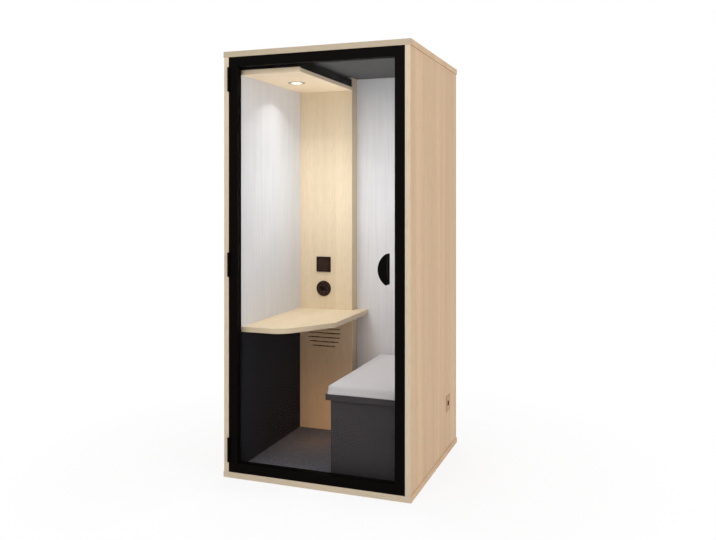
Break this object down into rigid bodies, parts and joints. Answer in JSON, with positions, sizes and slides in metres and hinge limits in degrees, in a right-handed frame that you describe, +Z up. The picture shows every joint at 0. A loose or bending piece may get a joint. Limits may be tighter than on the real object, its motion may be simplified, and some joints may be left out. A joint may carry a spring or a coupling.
{
  "type": "acoustic office pod",
  "caption": "One-person acoustic office pod: veneered cabin with a hinged glass door, felt lining, shaped desk, cushioned bench, service column, downlight and ventilation.",
  "frame": {"origin": "centre of the base panel's underside, where the pod stands on the floor", "axes": "+Z up, -Y out of the glass door, +X to the right as seen from the front"},
  "size_m": [1.01, 0.9795, 2.2],
  "materials": {
    "veneer": "satin",
    "acoustic_core": "matte",
    "grey_felt": "matte",
    "cushion_fabric": "matte",
    "dark_ceiling_felt": "matte",
    "carpet": "matte",
    "dark_panel": "matte",
    "bench_laminate": "matte",
    "bare_timber": "matte",
    "black_aluminium": "satin",
    "black_steel": "satin",
    "bare_steel": "satin",
    "cast_aluminium": "satin",
    "black_rubber": "matte",
    "door_glass": "polished",
    "black_plastic": "satin",
    "trim_enamel": "satin",
    "lamp_diffuser": "matte",
    "brown_plastic": "satin"
  },
  "bodies": {
    "cabin": {"base_panel": "veneer", "roof_panel": "veneer", "left_outer_panel": "veneer", "right_outer_panel": "veneer", "back_outer_panel": "veneer", "column_board": "veneer", "column_side_board": "veneer", "canopy_board": "veneer", "desk_top": "veneer", "left_acoustic_core": "acoustic_core", "right_acoustic_core": "acoustic_core", "back_acoustic_core": "acoustic_core", "left_felt_panel": "grey_felt", "right_felt_panel": "grey_felt", "back_felt_panel": "grey_felt", "seat_cushion": "cushion_fabric", "ceiling_felt_panel": "dark_ceiling_felt", "floor_carpet": "carpet", "left_lower_panel": "dark_panel", "bench_top_board": "bench_laminate", "bench_front_panel": "bench_laminate", "bench_side_panel": "bench_laminate", "bench_wall_rail": "bare_timber", "jamb_left": "black_aluminium", "jamb_right": "black_aluminium", "jamb_head": "black_aluminium", "jamb_sill": "black_aluminium", "canopy_fascia": "black_aluminium", "desk_wall_bracket": "black_steel", "desk_column_bracket": "black_steel", "hinge_frame_leaf_lower": "black_steel", "hinge_frame_leaf_middle": "black_steel", "hinge_frame_leaf_upper": "black_steel", "power_supply": "bare_steel", "downlight_body": "cast_aluminium", "door_seal": "black_rubber", "switch_plate": "black_plastic", "power_outlet": "black_plastic", "catch_magnet": "black_plastic", "intake_fan_frame": "black_plastic", "exhaust_fan_frame": "black_plastic", "downlight_trim": "trim_enamel", "downlight_lens": "lamp_diffuser", "power_inlet": "brown_plastic"},
    "door": {"door_hinge_stile": "black_aluminium", "door_lock_stile": "black_aluminium", "door_top_rail": "black_aluminium", "door_bottom_rail": "black_aluminium", "door_glass": "door_glass", "glazing_bead": "black_rubber", "outer_handle": "black_aluminium", "inner_handle": "black_aluminium", "strike_plate": "bare_steel", "hinge_door_leaf_lower": "black_steel", "hinge_door_leaf_middle": "black_steel", "hinge_door_leaf_upper": "black_steel"},
    "light_key": {"light_key": "black_plastic"},
    "fan_key": {"fan_key": "black_plastic"},
    "intake_rotor": {"intake_fan_rotor": "black_plastic"},
    "exhaust_rotor": {"exhaust_fan_rotor": "black_plastic"}
  },
  "joints": [
    {"name": "door_swing", "type": "hinge", "parent": "cabin", "child": "door", "pos_m": [-0.47225, -0.49, 1.1], "axis": [0, 0, -1], "range_deg": [0, 110]},
    {"name": "light_press", "type": "slide", "parent": "cabin", "child": "light_key", "axis": [0, 1, 0], "range_m": [0, 0.0015], "stiffness_N_per_m": 800},
    {"name": "fan_press", "type": "slide", "parent": "cabin", "child": "fan_key", "axis": [0, 1, 0], "range_m": [0, 0.0015], "stiffness_N_per_m": 800},
    {"name": "intake_spin", "type": "hinge", "parent": "cabin", "child": "intake_rotor", "pos_m": [-0.2795, 0.354, 0.623], "axis": [0, 1, 0], "continuous": true},
    {"name": "exhaust_spin", "type": "hinge", "parent": "cabin", "child": "exhaust_rotor", "pos_m": [-0.26725, 0.1635, 2.148], "axis": [0, 0, 1], "continuous": true}
  ]
}
